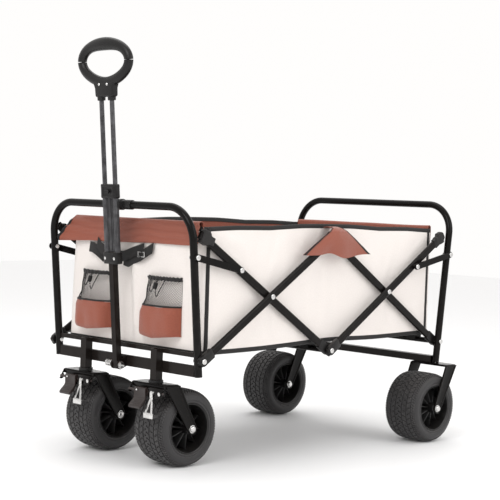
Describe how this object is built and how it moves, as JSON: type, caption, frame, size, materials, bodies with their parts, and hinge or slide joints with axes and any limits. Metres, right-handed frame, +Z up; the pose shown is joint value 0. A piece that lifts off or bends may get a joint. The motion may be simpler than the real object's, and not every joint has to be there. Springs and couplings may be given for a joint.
{
  "type": "folding beach cart",
  "caption": "Folding four-wheel beach cart with a fabric body on scissor arms, wide tyres, braked swivel front casters and a telescoping pull handle.",
  "frame": {"origin": "on the ground under the middle of the whole length, from the grip to the rear hoop", "axes": "+X toward the rear wheels, the handle end is -X; +Y toward the left side; +Z up"},
  "size_m": [1.006, 0.6532, 0.9795],
  "materials": {
    "frame_paint": "gloss black powder coat",
    "handle_metal": "satin dark grey",
    "zinc_steel": "zinc plated",
    "black_plastic": "satin black",
    "tyre_rubber": "matt dark grey",
    "cream_canvas": "coated woven canvas",
    "brown_canvas": "coated woven canvas",
    "black_net": "knitted net",
    "dark_canvas": "coated woven canvas"
  },
  "bodies": {
    "front_frame": {"front_hoop": "frame_paint", "front_crossmember": "frame_paint", "caster_posts": "frame_paint", "front_floor_bar": "frame_paint", "front_frame_rivets": "zinc_steel", "caster_bearings": "zinc_steel", "handle_bracket": "frame_paint", "handle_pivot_bolt": "zinc_steel", "handle_clip": "black_plastic", "bag_floor": "dark_canvas", "bag_sides": "cream_canvas", "bag_front_panel": "cream_canvas", "floor_mat": "dark_canvas", "front_cuff": "brown_canvas", "pocket_nets": "black_net", "pocket_boxes": "brown_canvas"},
    "lower_handle": {"handle_lower_tube": "frame_paint", "handle_block": "black_plastic", "handle_housing": "handle_metal", "handle_collar": "black_plastic"},
    "upper_handle": {"handle_rods": "handle_metal", "handle_grip": "black_plastic", "grip_screws": "zinc_steel"},
    "handle_button": {"lock_button": "black_plastic"},
    "front_lower_arms": {"front_lower_arms": "frame_paint", "front_cross_pins": "zinc_steel"},
    "front_upper_arms": {"front_upper_arms": "frame_paint"},
    "rear_lower_arms": {"rear_lower_arms": "frame_paint"},
    "rear_upper_arms": {"rear_upper_arms": "frame_paint", "rear_cross_pins": "zinc_steel"},
    "rear_frame": {"rear_hoop": "frame_paint", "rear_crossmember": "frame_paint", "rear_floor_tube": "frame_paint", "rear_forks": "frame_paint", "rear_axles": "zinc_steel", "rear_frame_rivets": "zinc_steel", "bag_rear_panel": "cream_canvas", "rear_cuff": "brown_canvas"},
    "front_links": {"front_short_links": "frame_paint"},
    "rear_links": {"rear_short_links": "frame_paint"},
    "apex": {"apex_pins": "zinc_steel", "apex_flaps": "brown_canvas"},
    "centre": {"centre_bar": "zinc_steel", "centre_tube": "frame_paint"},
    "caster_left": {"caster_fork_left": "frame_paint", "caster_axle_left": "zinc_steel"},
    "brake_left": {"brake_pedal_left": "black_plastic", "brake_shoe_left": "zinc_steel"},
    "front_wheel_left": {"front_tyre_left": "tyre_rubber", "front_rim_left": "black_plastic"},
    "rear_wheel_left": {"rear_tyre_left": "tyre_rubber", "rear_rim_left": "black_plastic"},
    "caster_right": {"caster_fork_right": "frame_paint", "caster_axle_right": "zinc_steel"},
    "brake_right": {"brake_pedal_right": "black_plastic", "brake_shoe_right": "zinc_steel"},
    "front_wheel_right": {"front_tyre_right": "tyre_rubber", "front_rim_right": "black_plastic"},
    "rear_wheel_right": {"rear_tyre_right": "tyre_rubber", "rear_rim_right": "black_plastic"}
  },
  "joints": [
    {"name": "fold", "type": "hinge", "parent": "front_frame", "child": "front_lower_arms", "pos_m": [-0.4022, 0, 0.2575], "axis": [0, -1, 0], "range_deg": [0, 45], "deforming": ["bag_sides", "bag_floor", "floor_mat"]},
    {"name": "front_cross_fold", "type": "hinge", "parent": "front_lower_arms", "child": "front_upper_arms", "pos_m": [-0.18812, 0, 0.39531], "axis": [0, -1, 0], "range_deg": [-90, 0]},
    {"name": "apex_fold", "type": "hinge", "parent": "front_lower_arms", "child": "rear_lower_arms", "pos_m": [0.02596, 0, 0.53311], "axis": [0, -1, 0], "range_deg": [-90, 0]},
    {"name": "rear_cross_fold", "type": "hinge", "parent": "rear_lower_arms", "child": "rear_upper_arms", "pos_m": [0.24004, 0, 0.39531], "axis": [0, -1, 0], "range_deg": [0, 90]},
    {"name": "rear_foot_fold", "type": "hinge", "parent": "rear_lower_arms", "child": "rear_frame", "pos_m": [0.45413, 0, 0.2575], "axis": [0, -1, 0], "range_deg": [0, 45]},
    {"name": "apex_flap_fold", "type": "hinge", "parent": "front_lower_arms", "child": "apex", "pos_m": [0.02596, 0, 0.53311], "axis": [0, -1, 0], "range_deg": [-45, 0]},
    {"name": "centre_fold", "type": "hinge", "parent": "front_upper_arms", "child": "centre", "pos_m": [0.02596, 0, 0.2575], "axis": [0, -1, 0], "range_deg": [0, 45]},
    {"name": "front_link_fold", "type": "hinge", "parent": "front_frame", "child": "front_links", "pos_m": [-0.42358, 0, 0.488], "axis": [0, -1, 0], "range_deg": [0, 81.17]},
    {"name": "rear_link_fold", "type": "hinge", "parent": "rear_frame", "child": "rear_links", "pos_m": [0.47957, 0, 0.488], "axis": [0, -1, 0], "range_deg": [-81.17, 0]},
    {"name": "handle_tilt", "type": "hinge", "parent": "front_frame", "child": "lower_handle", "pos_m": [-0.4242, 0, 0.224], "axis": [0, -1, 0], "range_deg": [0, 90]},
    {"name": "handle_slide", "type": "slide", "parent": "lower_handle", "child": "upper_handle", "axis": [0.0889, 0, -0.996], "range_m": [0, 0.115]},
    {"name": "lock_button_press", "type": "slide", "parent": "lower_handle", "child": "handle_button", "axis": [0.996, 0, 0.0889], "range_m": [0, 0.003], "stiffness_N_per_m": 600},
    {"name": "caster_swivel_left", "type": "hinge", "parent": "front_frame", "child": "caster_left", "pos_m": [-0.41488, 0.127, 0.2015], "axis": [0, 0, 1], "continuous": true},
    {"name": "front_wheel_spin_left", "type": "hinge", "parent": "caster_left", "child": "front_wheel_left", "pos_m": [-0.35088, 0.127, 0.09], "axis": [0, 1, 0], "continuous": true},
    {"name": "brake_press_left", "type": "hinge", "parent": "caster_left", "child": "brake_left", "pos_m": [-0.44488, 0.127, 0.178], "axis": [0, -1, 0], "range_deg": [0, 8]},
    {"name": "rear_wheel_spin_left", "type": "hinge", "parent": "rear_frame", "child": "rear_wheel_left", "pos_m": [0.39389, 0.263, 0.09], "axis": [0, 1, 0], "continuous": true},
    {"name": "caster_swivel_right", "type": "hinge", "parent": "front_frame", "child": "caster_right", "pos_m": [-0.41488, -0.127, 0.2015], "axis": [0, 0, 1], "continuous": true},
    {"name": "front_wheel_spin_right", "type": "hinge", "parent": "caster_right", "child": "front_wheel_right", "pos_m": [-0.35088, -0.127, 0.09], "axis": [0, 1, 0], "continuous": true},
    {"name": "brake_press_right", "type": "hinge", "parent": "caster_right", "child": "brake_right", "pos_m": [-0.44488, -0.127, 0.178], "axis": [0, -1, 0], "range_deg": [0, 8]},
    {"name": "rear_wheel_spin_right", "type": "hinge", "parent": "rear_frame", "child": "rear_wheel_right", "pos_m": [0.39389, -0.263, 0.09], "axis": [0, 1, 0], "continuous": true}
  ],
  "couplings": [
    {"joint": "front_cross_fold", "follows": "fold", "ratio": -2},
    {"joint": "apex_fold", "follows": "fold", "ratio": -2},
    {"joint": "rear_cross_fold", "follows": "fold", "ratio": 2},
    {"joint": "rear_foot_fold", "follows": "fold", "ratio": 1},
    {"joint": "apex_flap_fold", "follows": "fold", "ratio": -1},
    {"joint": "centre_fold", "follows": "fold", "ratio": 1},
    {"joint": "front_link_fold", "follows": "fold", "ratio": 1.8036},
    {"joint": "rear_link_fold", "follows": "fold", "ratio": -1.8036}
  ]
}
